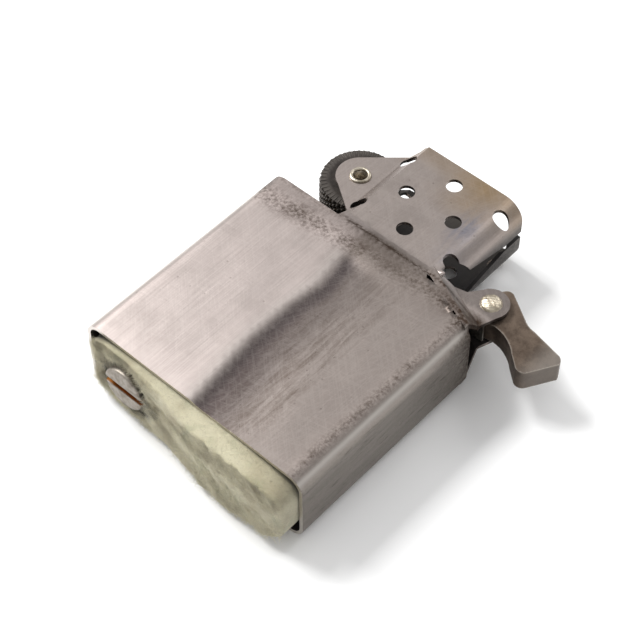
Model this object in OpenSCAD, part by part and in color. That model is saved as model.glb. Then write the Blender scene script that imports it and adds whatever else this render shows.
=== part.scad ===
// Windproof petrol lighter insert, lying on its broad back face.
// +Z points out of the front face, +Y runs from the felt end to the windscreen,
// +X runs from the striker wheel's side to the lever's side.
// The origin is the centre of the tank's flat back face.

/* [Tank] */
// Width of the tank, from its wheel side to its lever side
tank_w = 35.8; // [29:0.1:44]
// Thickness of the tank, from its back face to its front face
tank_t = 11.8; // [9.8:0.1:15]
// Height of the tank, from its open rim to its shoulder
tank_h = 33.6; // [27:0.1:42]
// Outer radius of the tank's four long edges
edge_r = 2.2; // [1:0.1:3]
// Thickness of the sheet steel
sheet = 0.5; // [0.35:0.05:0.6]
// How far the lever side's wall stops short of the shoulder
side_cut = 3.05; // [2:0.05:4]

/* [Windscreen] */
// Height of the windscreen above the shoulder
screen_h = 17.4; // [14.5:0.1:21]
// How far the windscreen's faces lie inside the tank's faces
screen_inset = 0.6; // [0.4:0.05:1]
// Length of the sloping neck between the tank and the windscreen
neck_h = 1.5; // [1:0.1:2]
// Distance from the tank's wheel side to the windscreen's near crease
screen_from_wheel_side = 12; // [10:0.1:13]
// Distance from the tank's lever side to the windscreen's round wall
screen_from_lever_side = 7.8; // [7:0.1:9]
// Outer radius of the windscreen's round corner
screen_r = 3; // [2:0.1:4]
// Half of the slot where the two round walls meet
seam_half = 0.5; // [0.3:0.05:0.8]
// Radius of the side window below the slot
window_r = 5.6; // [4:0.1:6.5]
// Height of the side window's centre above the shoulder
window_y = 1.5; // [1:0.1:3]
// Height above the shoulder where the window has narrowed to the slot
window_top_y = 14; // [12:0.1:14.4]
// Diameter of the vent holes
vent_d = 2.25; // [1.5:0.05:3]
// Distance between two vent holes of one row
vent_pitch_x = 7.8; // [6.5:0.1:8]
// Distance between the rows of vent holes
vent_pitch_y = 5; // [3.5:0.1:5.6]
// Height of the lowest row of vent holes above the shoulder
vent_first_y = 4.25; // [3:0.05:5]

/* [Striker wheel] */
// Distance from the tank's wheel side to the wheel's axis
wheel_from_side = 7.5; // [6.5:0.1:8.5]
// Diameter of the striker wheel
wheel_d = 11; // [9:0.1:12]
// Width of the striker wheel
wheel_w = 5.6; // [4.5:0.1:6]
// Gap between the wheel's rim and the level of the shoulder
wheel_rise = 3.2; // [2.5:0.1:4]
// Number of teeth round the wheel
wheel_teeth = 48; // [24:1:60]
// Depth of the teeth
tooth_depth = 0.3; // [0.1:0.05:0.5]
// Radius of the ears that hold the wheel
wheel_ear_r = 3.3; // [2.5:0.1:4]
// Outer diameter of the tubular rivet's shank
wheel_rivet_d = 2.4; // [1.8:0.1:2.8]
// Wall of the tubular rivet
wheel_rivet_wall = 0.3; // [0.2:0.05:0.4]
// Thickness of the tubular rivet's rolled lip
wheel_rivet_lip = 0.3; // [0.2:0.05:0.5]

/* [Lever] */
// Distance from the tank's lever side to the lever's pivot
lever_from_side = 2.3; // [2:0.1:3]
// Height of the lever's pivot above the shoulder
lever_pivot_y = 4.05; // [3.6:0.05:5]
// Thickness of the lever
lever_t = 3.2; // [2.4:0.1:4]
// Length of the lever, from its pivot to the end of its foot
lever_l = 12; // [10:0.1:14]
// Width of the lever's foot
foot_w = 5.6; // [4.5:0.1:6.5]
// Radius of the lever's round boss
boss_r = 2.4; // [2:0.1:2.6]
// Angle of the lever below the X axis at rest
lever_droop = 17; // [5:1:25]
// Radius of the ears that hold the lever
lever_ear_r = 2.4; // [2:0.1:2.8]
// Diameter of the solid rivet's shank
lever_rivet_d = 2; // [1.4:0.1:2.4]
// Diameter of the solid rivet's domed heads
lever_rivet_head_d = 3; // [2.6:0.1:3.6]
// Height of the solid rivet's domed heads
lever_rivet_head_h = 0.6; // [0.4:0.05:0.9]
// Thickness of the leaf spring
leaf_t = 0.3; // [0.2:0.05:0.4]
// Width of the leaf spring
leaf_w = 3; // [2:0.1:3.4]

/* [Flint feed] */
// Outer diameter of the flint tube
tube_d = 4.4; // [4:0.1:5]
// Outer diameter of the tube's threaded foot
tube_foot_d = 5.4; // [5:0.1:6]
// Inner diameter of the flint tube
tube_bore_d = 2.8; // [2.6:0.1:3]
// Diameter of the flint
flint_d = 2.5; // [2.2:0.05:2.55]
// Length of the flint
flint_l = 5; // [3:0.1:6]
// Length of the brass tip between the flint and its spring
tip_l = 2; // [1.5:0.1:3]
// Outer diameter of the screw's thread
thread_d = 4; // [3.6:0.1:4.2]
// Pitch of the screw's thread
thread_pitch = 0.7; // [0.5:0.05:1]
// Length of the screw's thread
thread_l = 7; // [6:0.1:8]
// Diameter of the screw's head
screw_head_d = 6.4; // [6:0.1:7]
// Thickness of the screw's head
screw_head_t = 1.8; // [1.4:0.1:2.2]
// How far the screw's head stands out of the rim
screw_out = 1.7; // [1.2:0.1:2.4]
// Width of the screwdriver slot
slot_w = 1.1; // [0.8:0.1:1.4]
// Depth of the screwdriver slot
slot_d = 0.8; // [0.5:0.1:1.1]
// Diameter of the flint spring's wire
wire_d = 0.4; // [0.3:0.05:0.45]
// Turns of the flint spring
spring_turns = 22; // [14:1:26]

/* [Wick and packing] */
// Diameter of the wick
wick_d = 2.9; // [2.4:0.1:3.4]
// Height of the wick's tip above the shoulder
wick_top_y = 9.5; // [7:0.1:12]
// Diameter of each copper strand in the wick
strand_d = 0.36; // [0.25:0.01:0.4]
// How far the copper strands stand out of the wick's tip
strand_out = 0.5; // [0.2:0.1:1]
// Depth of the felt pad inside the tank
felt_depth = 3.2; // [2.5:0.1:4.5]
// How far the felt stands out of the rim beside the screw
felt_out = 1.5; // [1:0.1:2.5]
// How far the felt's loose end stands out of the rim
flap_out = 3; // [2:0.1:3.5]
// Gap at the loose end of the felt, which lets it be lifted
flap_gap = 0.9; // [0.8:0.1:1.5]
// Wall of felt between the screw's hole and the line where the flap bends
felt_web = 1; // [0.6:0.1:1.6]

/* [Clearances] */
// Radial clearance of the turning pieces on their rivets
running_fit = 0.05; // [0.03:0.01:0.09]
// Radial clearance of the rivets and the tube in their holes
seat_fit = 0.03; // [0.02:0.01:0.05]
// Gap between the turning pieces and their ears
side_gap = 0.3; // [0.2:0.05:0.5]
// Gap round the soft pieces
soft_gap = 0.3; // [0.25:0.05:0.4]

/* [Hidden] */
COTTON_BALLS = 5;
$fn = 48;

// Heights along Y: the open rim and the shoulder.
rim_y = -tank_h / 2;
shoulder_y = tank_h / 2;
mid_z = tank_t / 2;

// Places across X, all measured from the two narrow sides.
wheel_side_x = -tank_w / 2;
lever_side_x = tank_w / 2;
crease_x = wheel_side_x + screen_from_wheel_side;
wall_x = lever_side_x - screen_from_lever_side;
wheel_x = wheel_side_x + wheel_from_side;
lever_x = lever_side_x - lever_from_side;
vent_x = (crease_x + wall_x) / 2 - 1.1;
wick_x = vent_x;

// Levels of the windscreen's front sheet; the back sheet mirrors it.
face_z = tank_t - screen_inset;
wheel_ear_z = mid_z + wheel_w / 2 + side_gap / 2 + sheet;
lever_ear_z = mid_z + lever_t / 2 + side_gap + sheet;
wheel_y = wheel_rise + wheel_d / 2;

// The slope from the windscreen's face down to the wheel's ear.
wheel_slope_run = 1.8;
wheel_slope_a = atan2(face_z - wheel_ear_z, wheel_slope_run);

// The crease where the sheet turns in towards the lever's ear.
ear_fold_start = [wall_x - 2.1, neck_h];
ear_fold_end = [lever_side_x - 0.7, -side_cut + 0.45];
ear_fold_v = ear_fold_end - ear_fold_start;
ear_fold_a = atan2(ear_fold_v[1], ear_fold_v[0]);
ear_slope_run = 2.4;
ear_slope_a = atan2(tank_t - lever_ear_z, ear_slope_run);

// The deck inside the shoulder, with its lower step under the lever.
deck_top = -0.5;
deck_t = 0.5;
deck_low_top = -side_cut - 1.4;
deck_step_x = wall_x + 0.9;
deck_fit = 0.05;

// Stations of the flint feed along Y, counted from the rim.
seat_gap = 0.05;
head_inner = screw_head_t - screw_out;
tube_end = head_inner + seat_gap;
thread_end = head_inner + thread_l;
flint_top = tank_h + wheel_rise - 0.1;
flint_bottom = flint_top - flint_l;
tip_bottom = flint_bottom - tip_l;
tube_top = tank_h + wheel_rise - 1;

// The felt: one hole round the screw, and the line where the flap bends.
felt_hole_r = screw_head_d / 2 + 0.5;
flap_x = wheel_x + felt_hole_r + felt_web + soft_gap;
felt_in = sheet + soft_gap;

// The leaf spring's rivet stands on the deck beside the wick.
leaf_rivet_r = 0.8;
leaf_rivet_x = wall_x - 1.9;
leaf_tip_x = lever_x + 1.2;
leaf_tip_top = lever_pivot_y - boss_r - side_gap;

// The copper core's channel runs down the whole wick.
core_r = strand_d * 1.2 + 0.05;
wick_bottom = rim_y + felt_depth + 2;

// Corners of a rounded outline as a list of points on an arc.
function arc(c, r, a0, a1, n = 8) =
    [for (i = [0:n]) c + r * [cos(a0 + (a1 - a0) * i / n), sin(a0 + (a1 - a0) * i / n)]];

// Carries an outline drawn in X and Z along Y.
module run_y(y0, y1) {
    translate([0, y1, 0])
        rotate([90, 0, 0])
            linear_extrude(y1 - y0)
                children();
}

// A disc or a tube along Y, from one height to another.
module rod_y(x, z, r, y0, y1) {
    translate([x, y1, z])
        rotate([90, 0, 0])
            cylinder(r = r, h = y1 - y0);
}

// The children, and their mirror image on the other broad face.
module both_faces() {
    children();
    translate([0, 0, tank_t])
        mirror([0, 0, 1])
            children();
}

// Moves the children up to the shoulder.
module at_shoulder() {
    translate([0, shoulder_y, 0])
        children();
}

// The tank's rounded section, brought in by an inset, between two X values.
module tank_section(inset, x0 = wheel_side_x, x1 = lever_side_x) {
    r = edge_r - inset;
    left = max(x0, wheel_side_x + inset);
    right = min(x1, lever_side_x - inset);
    left_r = x0 > wheel_side_x ? 0 : r;
    right_r = x1 < lever_side_x ? 0 : r;
    translate([left + left_r, inset])
        square([right - left - left_r - right_r, tank_t - 2 * inset]);
    translate([left, inset + r])
        square([right - left, tank_t - 2 * inset - 2 * r]);
    for (z = [inset + r, tank_t - inset - r]) {
        if (left_r > 0) translate([left + r, z]) circle(r);
        if (right_r > 0) translate([right - r, z]) circle(r);
    }
}

// Half section of the windscreen from the middle up to its front sheet.
module screen_section(inset) {
    shift = inset * tan(wheel_slope_a / 2);
    r = screen_r - inset;
    left = wheel_x - wheel_ear_r - 1 - inset;
    floor_z = mid_z - inset;
    corner_z = face_z - screen_r;
    polygon([
        [left, floor_z],
        [left, wheel_ear_z - inset],
        [crease_x - wheel_slope_run + shift, wheel_ear_z - inset],
        [crease_x + shift, face_z - inset],
        [wall_x - screen_r, face_z - inset],
        [wall_x - screen_r, corner_z],
        [wall_x - inset, corner_z],
        [wall_x - inset, floor_z]
    ]);
    translate([wall_x - screen_r, corner_z])
        circle(r);
}

// Outline of the windscreen's front sheet, seen from the front.
module screen_outline() {
    ear = [wheel_x, wheel_y];
    foot_x = crease_x - 0.7;
    lower_a = -112;
    translate([foot_x, 0])
        square([wall_x - foot_x + 1, screen_h]);
    translate(ear)
        circle(wheel_ear_r);
    polygon([
        ear,
        ear + wheel_ear_r * [cos(135), sin(135)],
        [crease_x + 0.2, screen_h],
        [crease_x + 0.2, 2],
        [foot_x, neck_h + 0.7],
        ear + wheel_ear_r * [cos(lower_a), sin(lower_a)]
    ]);
}

// The side window and the slot above it, as seen along X.
module window_outline() {
    neck_y = window_y + window_r * 0.84;
    neck_half = window_r * 0.42;
    translate([window_y, mid_z])
        circle(window_r);
    polygon([
        [neck_y, mid_z - neck_half],
        [window_top_y, mid_z - seam_half],
        [window_top_y, mid_z + seam_half],
        [neck_y, mid_z + neck_half]
    ]);
    translate([window_top_y - 1, mid_z - seam_half])
        square([screen_h - window_top_y + 2, 2 * seam_half]);
}

// One sheet of the windscreen, with the ear that holds the wheel.
module screen_sheet() {
    difference() {
        intersection() {
            run_y(0, screen_h)
                difference() {
                    screen_section(0);
                    screen_section(sheet);
                }
            translate([0, 0, mid_z])
                linear_extrude(tank_t)
                    screen_outline();
        }
        translate([wall_x - 1.5, 0, 0])
            rotate([90, 0, 90])
                linear_extrude(3)
                    window_outline();
        // The face starts where the neck ends.
        translate([wheel_side_x, -1, 0])
            cube([tank_w, neck_h + 0.8, tank_t + 1]);
    }
}

// The sloping neck that brings the tank's face in to the windscreen.
module neck() {
    x0 = crease_x - 0.7;
    translate([x0, 0, 0])
        rotate([90, 0, 90])
            linear_extrude(ear_fold_start[0] + 1.5 - x0)
                polygon([
                    [-0.5, tank_t - sheet],
                    [-0.5, tank_t],
                    [0, tank_t],
                    [neck_h, face_z],
                    [neck_h + 0.6, face_z],
                    [neck_h + 0.6, face_z - sheet],
                    [neck_h, face_z - sheet],
                    [0, tank_t - sheet]
                ]);
}

// Outline of the ear that holds the lever, seen from the front.
module lever_ear_outline() {
    pivot = [lever_x, lever_pivot_y];
    translate(pivot)
        circle(lever_ear_r);
    polygon([
        ear_fold_start + [0, -1.2],
        ear_fold_start,
        [wall_x, lever_pivot_y - 1.1],
        [lever_x - 3.4, lever_pivot_y - 0.6],
        pivot + lever_ear_r * [cos(130), sin(130)],
        pivot,
        pivot + lever_ear_r * [cos(-30), sin(-30)],
        [lever_x + 1.2, 0.4],
        ear_fold_end,
        ear_fold_end + [0, -0.8]
    ]);
}

// The ear that holds the lever, folded in from the tank's face.
module lever_ear() {
    shift = sheet * tan(ear_slope_a / 2);
    reach = 12;
    intersection() {
        translate([0, 0, mid_z])
            linear_extrude(tank_t)
                lever_ear_outline();
        translate(ear_fold_start)
            rotate([0, 0, ear_fold_a])
                translate([-2, 0, 0])
                    rotate([90, 0, 90])
                        linear_extrude(norm(ear_fold_v) + 4)
                            polygon([
                                [-2, tank_t],
                                [0, tank_t],
                                [ear_slope_run, lever_ear_z],
                                [reach, lever_ear_z],
                                [reach, lever_ear_z - sheet],
                                [ear_slope_run - shift, lever_ear_z - sheet],
                                [-shift, tank_t - sheet],
                                [-2, tank_t - sheet]
                            ]);
    }
}

// Centres of the vent holes: rows of three, two and three.
module at_vents() {
    for (row = [0:2])
        for (column = row == 1 ? [-0.5, 0.5] : [-1, 0, 1])
            translate([vent_x + column * vent_pitch_x, vent_first_y + row * vent_pitch_y, 0])
                children();
}

// The steel tank and the windscreen above it, one pressed sheet.
module tank_shell() {
    color([0.62, 0.59, 0.56])
        difference() {
            union() {
                difference() {
                    run_y(rim_y, shoulder_y)
                        tank_section(0);
                    run_y(rim_y - 1, shoulder_y + 1)
                        tank_section(sheet);
                    at_shoulder()
                        translate([0, 0, -1])
                            linear_extrude(tank_t + 2)
                                polygon([
                                    ear_fold_start + [0, 2],
                                    ear_fold_start,
                                    ear_fold_end,
                                    [lever_side_x - sheet - 0.1, -side_cut],
                                    [lever_side_x + 1, -side_cut],
                                    [lever_side_x + 1, 2 + neck_h]
                                ]);
                }
                at_shoulder()
                    both_faces() {
                        screen_sheet();
                        neck();
                        lever_ear();
                    }
            }
            at_shoulder()
                translate([0, 0, -1])
                    at_vents()
                        cylinder(d = vent_d, h = tank_t + 2);
            at_shoulder()
                translate([wheel_x, wheel_y, -1])
                    cylinder(r = wheel_rivet_d / 2 + seat_fit, h = tank_t + 2);
            at_shoulder()
                translate([lever_x, lever_pivot_y, -1])
                    cylinder(r = lever_rivet_d / 2 + seat_fit, h = tank_t + 2);
        }
}

// The deck that closes the tank, stepped down under the lever.
module top_deck() {
    inner = sheet + deck_fit;
    color([0.45, 0.42, 0.38])
        difference() {
            at_shoulder() {
                run_y(deck_top - deck_t, deck_top)
                    tank_section(inner, x1 = deck_step_x);
                run_y(deck_low_top - deck_t, deck_low_top)
                    tank_section(inner, x0 = deck_step_x - deck_t);
                run_y(deck_low_top - deck_t, deck_top)
                    tank_section(inner, deck_step_x - deck_t, deck_step_x);
            }
            at_shoulder() {
                rod_y(wheel_x, mid_z, tube_d / 2 + seat_fit, deck_top - 2, deck_top + 1);
                rod_y(wick_x, mid_z, wick_d / 2 + soft_gap, deck_top - 2, deck_top + 1);
                rod_y(leaf_rivet_x, mid_z, leaf_rivet_r + seat_fit, deck_top - 2, deck_top + 1);
            }
        }
}

// The toothed steel wheel that strikes the flint.
module striker_wheel() {
    r = wheel_d / 2;
    chamfer = 0.35;
    over = 0.1;
    color([0.22, 0.2, 0.19])
        at_shoulder()
            translate([wheel_x, wheel_y, mid_z - wheel_w / 2])
                difference() {
                    intersection() {
                        linear_extrude(wheel_w)
                            polygon([
                                for (i = [0:2 * wheel_teeth - 1])
                                    let (
                                        tip = i % 2 == 0 ? r : r - tooth_depth,
                                        a = 180 * i / wheel_teeth
                                    )
                                        tip * [cos(a), sin(a)]
                            ]);
                        rotate_extrude()
                            polygon([
                                [0, 0],
                                [r - chamfer, 0],
                                [r + over, chamfer + over],
                                [r + over, wheel_w - chamfer - over],
                                [r - chamfer, wheel_w],
                                [0, wheel_w]
                            ]);
                    }
                    translate([0, 0, -1])
                        cylinder(r = wheel_rivet_d / 2 + running_fit, h = wheel_w + 2);
                }
}

// The tubular rivet that the wheel turns on, its ends rolled over the ears.
module wheel_rivet() {
    half = wheel_ear_z - mid_z;
    lip_r = wheel_rivet_d / 2 + 0.27;
    color([0.6, 0.58, 0.5])
        at_shoulder()
            translate([wheel_x, wheel_y, mid_z])
                difference() {
                    union() {
                        translate([0, 0, -half - wheel_rivet_lip / 2])
                            cylinder(d = wheel_rivet_d, h = 2 * half + wheel_rivet_lip);
                        for (side = [-1, 1])
                            translate([0, 0, side * (half + wheel_rivet_lip / 2)])
                                rotate_extrude() {
                                    translate([lip_r - wheel_rivet_lip / 2, 0])
                                        circle(d = wheel_rivet_lip);
                                    translate([wheel_rivet_d / 2 - wheel_rivet_wall, -wheel_rivet_lip / 2])
                                        square([lip_r - wheel_rivet_lip / 2 - wheel_rivet_d / 2
                                            + wheel_rivet_wall, wheel_rivet_lip]);
                                }
                    }
                    translate([0, 0, -tank_t])
                        cylinder(r = wheel_rivet_d / 2 - wheel_rivet_wall, h = 2 * tank_t);
                }
}

// Outline of the lever, its pivot at the centre and its arm along +X.
module lever_outline() {
    half_foot = foot_w / 2;
    corner = 1.1;
    arm_top = 2.35;
    arm_low = -1.1;
    heel = 3.7;
    polygon(concat(
        arc([-0.3, heel - 1], 1, 165, 75),
        arc([lever_l * 0.43, arm_top + 3.6], 3.6, 250, 285),
        arc([lever_l - corner - 0.2, half_foot + 0.1 - corner], corner, 100, 15),
        arc([lever_l - corner - 1.2, -half_foot + corner], corner, -15, -105),
        arc([lever_l * 0.36, arm_low - 6], 6, 60, 105),
        arc([0, 0], boss_r, -70, -190, 14)
    ));
}

// The lever that snaps the lid open and shut.
module cam_lever() {
    color([0.38, 0.34, 0.3])
        at_shoulder()
            translate([lever_x, lever_pivot_y, mid_z - lever_t / 2])
                rotate([0, 0, -lever_droop])
                    difference() {
                        linear_extrude(lever_t)
                            lever_outline();
                        translate([0, 0, -1])
                            cylinder(r = lever_rivet_d / 2 + running_fit, h = lever_t + 2);
                    }
}

// The solid rivet that the lever turns on, with a domed head on each ear.
module cam_rivet() {
    half = lever_ear_z - mid_z;
    head_r = lever_rivet_head_d / 2;
    dome_r = (head_r * head_r + lever_rivet_head_h * lever_rivet_head_h) / (2 * lever_rivet_head_h);
    color([0.68, 0.63, 0.55])
        at_shoulder()
            translate([lever_x, lever_pivot_y, mid_z]) {
                translate([0, 0, -half - 0.1])
                    cylinder(d = lever_rivet_d, h = 2 * half + 0.2);
                for (side = [0, 1])
                    mirror([0, 0, side])
                        translate([0, 0, half])
                            intersection() {
                                translate([0, 0, lever_rivet_head_h - dome_r])
                                    sphere(dome_r);
                                cylinder(r = head_r, h = lever_rivet_head_h);
                            }
            }
}

// The leaf spring under the lever's boss.
module cam_spring() {
    start_x = leaf_rivet_x - 1.6;
    bend_x = deck_step_x + 0.4;
    foot_top = deck_top + leaf_t;
    color([0.5, 0.48, 0.44])
        at_shoulder()
            difference() {
                translate([0, 0, mid_z - leaf_w / 2])
                    linear_extrude(leaf_w)
                        polygon([
                            [start_x, deck_top],
                            [start_x, foot_top],
                            [bend_x, foot_top],
                            [lever_x - 1, leaf_tip_top],
                            [leaf_tip_x, leaf_tip_top],
                            [leaf_tip_x, leaf_tip_top - leaf_t],
                            [lever_x - 1, leaf_tip_top - leaf_t],
                            [bend_x, deck_top]
                        ]);
                rod_y(leaf_rivet_x, mid_z, leaf_rivet_r + seat_fit, deck_top - 1, deck_top + 1);
            }
}

// The rivet that fastens the leaf spring to the deck.
module cam_spring_rivet() {
    head_r = leaf_rivet_r + 0.5;
    head_h = 0.35;
    color([0.6, 0.57, 0.5])
        at_shoulder() {
            rod_y(leaf_rivet_x, mid_z, leaf_rivet_r, deck_top - deck_t - head_h, deck_top + leaf_t + head_h);
            rod_y(leaf_rivet_x, mid_z, head_r, deck_top + leaf_t, deck_top + leaf_t + head_h);
            rod_y(leaf_rivet_x, mid_z, head_r, deck_top - deck_t - head_h, deck_top - deck_t);
        }
}

// The brass tube that guides the flint, with a threaded foot.
module flint_tube() {
    foot_l = thread_l + 1;
    color([0.72, 0.58, 0.3])
        translate([0, rim_y, 0])
            difference() {
                union() {
                    rod_y(wheel_x, mid_z, tube_d / 2, tube_end, tube_top);
                    rod_y(wheel_x, mid_z, tube_foot_d / 2, tube_end, tube_end + foot_l);
                }
                rod_y(wheel_x, mid_z, tube_bore_d / 2, tube_end - 1, tube_top + 1);
                rod_y(wheel_x, mid_z, thread_d / 2 + running_fit, tube_end - 1, thread_end + 0.2);
            }
}

// The slotted screw that closes the flint tube.
module flint_screw() {
    core_r = thread_d / 2 - thread_pitch * 0.6;
    turns = floor(thread_l / thread_pitch);
    edge = 0.3;
    color([0.5, 0.46, 0.4])
        translate([wheel_x, rim_y, mid_z])
            rotate([-90, 0, 0])
                difference() {
                    rotate_extrude()
                        polygon(concat(
                            [[0, -screw_out]],
                            arc([screw_head_d / 2 - edge, edge - screw_out], edge, -90, 0, 4),
                            [[screw_head_d / 2, head_inner], [core_r, head_inner]],
                            [
                                for (i = [0:turns - 1], k = [0:2])
                                    let (y = head_inner + i * thread_pitch)
                                        k == 0 ? [core_r, y + 0.1 * thread_pitch]
                                        : k == 1 ? [thread_d / 2, y + 0.45 * thread_pitch]
                                        : [thread_d / 2, y + 0.6 * thread_pitch]
                            ],
                            [[core_r, thread_end], [0, thread_end]]
                        ));
                    translate([-screw_head_d, -slot_w / 2, -screw_out - 1])
                        cube([2 * screw_head_d, slot_w, slot_d + 1]);
                }
}

// One closed coil of wire: rings of points along a helix on the Y axis.
module coil(mean_r, wire_r, length, turns, sides = 5, steps = 10) {
    rings = turns * steps;
    pitch_a = atan2(length, 2 * PI * mean_r * turns);
    points = [
        for (i = [0:rings], j = [0:sides - 1])
            let (
                a = 360 * i / steps,
                b = 360 * j / sides,
                out = mean_r + wire_r * cos(b)
            )
                [
                    out * cos(a) + wire_r * sin(b) * sin(pitch_a) * sin(a),
                    out * sin(a) - wire_r * sin(b) * sin(pitch_a) * cos(a),
                    length * i / rings + wire_r * sin(b) * cos(pitch_a)
                ]
    ];
    sides_faces = [
        for (i = [0:rings - 1], j = [0:sides - 1])
            let (k = (j + 1) % sides)
                [i * sides + k, (i + 1) * sides + k, (i + 1) * sides + j, i * sides + j]
    ];
    first_cap = [for (j = [sides - 1:-1:0]) sides - 1 - j];
    last_cap = [for (j = [0:sides - 1]) rings * sides + sides - 1 - j];
    polyhedron(points, concat([first_cap], sides_faces, [last_cap]));
}

// The spring that pushes the flint against the wheel.
module flint_spring() {
    start = thread_end + wire_d / 2 + seat_gap;
    length = tip_bottom - seat_gap - wire_d / 2 - start;
    mean_r = tube_bore_d / 2 - 0.25 - wire_d / 2;
    color([0.66, 0.64, 0.6])
        translate([wheel_x, rim_y + start, mid_z])
            rotate([-90, 0, 0])
                coil(mean_r, wire_d / 2, length, spring_turns);
}

// The brass tip that carries the flint.
module spring_tip() {
    r = tube_bore_d / 2 - 0.2;
    color([0.75, 0.6, 0.3])
        translate([0, rim_y, 0])
            rod_y(wheel_x, mid_z, r, tip_bottom, flint_bottom - seat_gap);
}

// The flint under the striker wheel.
module flint() {
    color([0.35, 0.34, 0.33])
        translate([0, rim_y, 0])
            rod_y(wheel_x, mid_z, flint_d / 2, flint_bottom, flint_top);
}

// The woven wick.
module wick() {
    color([0.82, 0.78, 0.68])
        difference() {
            rod_y(wick_x, mid_z, wick_d / 2, wick_bottom, shoulder_y + wick_top_y);
            rod_y(wick_x, mid_z, core_r, wick_bottom - 1, shoulder_y + wick_top_y + 1);
        }
}

// The three copper strands inside the wick.
module wick_wire() {
    reach = strand_d * 0.62;
    color([0.72, 0.42, 0.25])
        for (a = [90, 210, 330])
            rod_y(
                wick_x + reach * cos(a),
                mid_z + reach * sin(a),
                strand_d / 2,
                wick_bottom,
                shoulder_y + wick_top_y + strand_out
            );
}

// A rectangle with round corners, from its lowest to its highest corner.
module round_rect(low, high, r) {
    size = high - low;
    translate(low + [r, 0])
        square(size - [2 * r, 0]);
    translate(low + [0, r])
        square(size - [0, 2 * r]);
    for (x = [low[0] + r, high[0] - r], y = [low[1] + r, high[1] - r])
        translate([x, y])
            circle(r);
}

// One soft ball of cotton, pressed into a box with round edges.
module cotton_block(x0, x1, y0, y1) {
    r = 1.6;
    z0 = sheet + soft_gap;
    z1 = tank_t - sheet - soft_gap;
    color([0.93, 0.91, 0.86])
        intersection() {
            run_y(y0, y1)
                round_rect([x0, z0], [x1, z1], r);
            linear_extrude(tank_t)
                round_rect([x0, y0], [x1, y1], r);
        }
}

// The cotton balls: two between the tube and the wick, three beyond the wick.
module cotton_ball(i) {
    low = rim_y + felt_depth + 2 * soft_gap;
    high = shoulder_y + deck_top - deck_t - 1;
    high_far = shoulder_y + deck_low_top - deck_t - soft_gap;
    near_x0 = wheel_x + tube_foot_d / 2 + soft_gap;
    near_x1 = wick_x - wick_d / 2 - soft_gap;
    far_x0 = wick_x + wick_d / 2 + soft_gap;
    far_x1 = lever_side_x - sheet - soft_gap;
    near = i <= 2;
    count = near ? 2 : 3;
    k = near ? i - 1 : i - 3;
    top = near ? high : high_far;
    step = (top - low + soft_gap) / count;
    y0 = low + k * step;
    cotton_block(near ? near_x0 : far_x0, near ? near_x1 : far_x1, y0, y0 + step - soft_gap);
}

// Section of the felt between two X values.
module felt_section(x0, x1) {
    tank_section(felt_in, x0, x1);
}

// The fixed end of the felt, with the hole round the screw.
module felt_pad() {
    color([0.8, 0.78, 0.66])
        translate([0, rim_y, 0])
            difference() {
                run_y(-felt_out, felt_depth)
                    felt_section(wheel_side_x, flap_x - soft_gap);
                rod_y(wheel_x, mid_z, felt_hole_r, -felt_out - 1, felt_depth + 1);
            }
}

// The loose end of the felt, lifted to fill the tank.
module felt_flap() {
    color([0.8, 0.78, 0.66])
        translate([0, rim_y, 0])
            intersection() {
                run_y(-flap_out, felt_depth)
                    felt_section(flap_x, lever_side_x);
                translate([flap_x - 1, -flap_out - 1, 0])
                    cube([lever_side_x - felt_in - flap_gap - flap_x + 1, flap_out + felt_depth + 2, tank_t]);
            }
}

tank_shell();
top_deck();
striker_wheel();
wheel_rivet();
cam_lever();
cam_rivet();
cam_spring();
cam_spring_rivet();
flint_tube();
flint_screw();
flint_spring();
spring_tip();
flint();
wick();
wick_wire();
felt_pad();
felt_flap();
for (i = [1:COTTON_BALLS])
    cotton_ball(i);
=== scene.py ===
import math

import bmesh
import bpy
import numpy as np
from mathutils import Matrix, Vector

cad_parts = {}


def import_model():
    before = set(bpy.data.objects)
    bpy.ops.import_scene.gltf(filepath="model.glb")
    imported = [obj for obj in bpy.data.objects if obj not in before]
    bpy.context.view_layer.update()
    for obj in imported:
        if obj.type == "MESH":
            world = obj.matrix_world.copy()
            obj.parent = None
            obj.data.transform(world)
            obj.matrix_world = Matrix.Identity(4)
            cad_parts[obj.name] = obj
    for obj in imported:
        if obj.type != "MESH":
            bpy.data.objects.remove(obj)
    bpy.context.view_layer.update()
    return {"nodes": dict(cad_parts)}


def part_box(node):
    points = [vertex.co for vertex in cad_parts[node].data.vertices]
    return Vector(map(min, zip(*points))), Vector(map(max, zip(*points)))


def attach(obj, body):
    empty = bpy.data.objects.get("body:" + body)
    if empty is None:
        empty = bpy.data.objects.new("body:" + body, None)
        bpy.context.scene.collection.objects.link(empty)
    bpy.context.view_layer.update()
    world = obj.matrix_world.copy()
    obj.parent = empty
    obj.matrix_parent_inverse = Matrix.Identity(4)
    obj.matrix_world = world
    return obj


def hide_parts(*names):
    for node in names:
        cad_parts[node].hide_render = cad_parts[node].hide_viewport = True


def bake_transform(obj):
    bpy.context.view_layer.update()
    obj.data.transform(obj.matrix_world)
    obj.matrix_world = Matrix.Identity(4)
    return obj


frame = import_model()
mm = 0.001
rng = np.random.default_rng(7)


def corners(node):
    # A node's lowest and highest corner in millimetres.
    low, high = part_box(node)
    return np.array(low) / mm, np.array(high) / mm


def middle(node):
    low, high = corners(node)
    return (low + high) / 2


shellLow, shellHigh = corners("tank_shell")
deckHigh = corners("top_deck")[1]
rimY = shellLow[1]
midZ = middle("tank_shell")[2]
faceZ = shellHigh[2]
sideX = shellHigh[0]
shoulderY = deckHigh[1] + 0.5
wheelAt = middle("striker_wheel")
leverRivetAt = middle("cam_rivet")
wallX = leverRivetAt[0] - 5.5
creaseX = wheelAt[0] + 4.5


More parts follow.
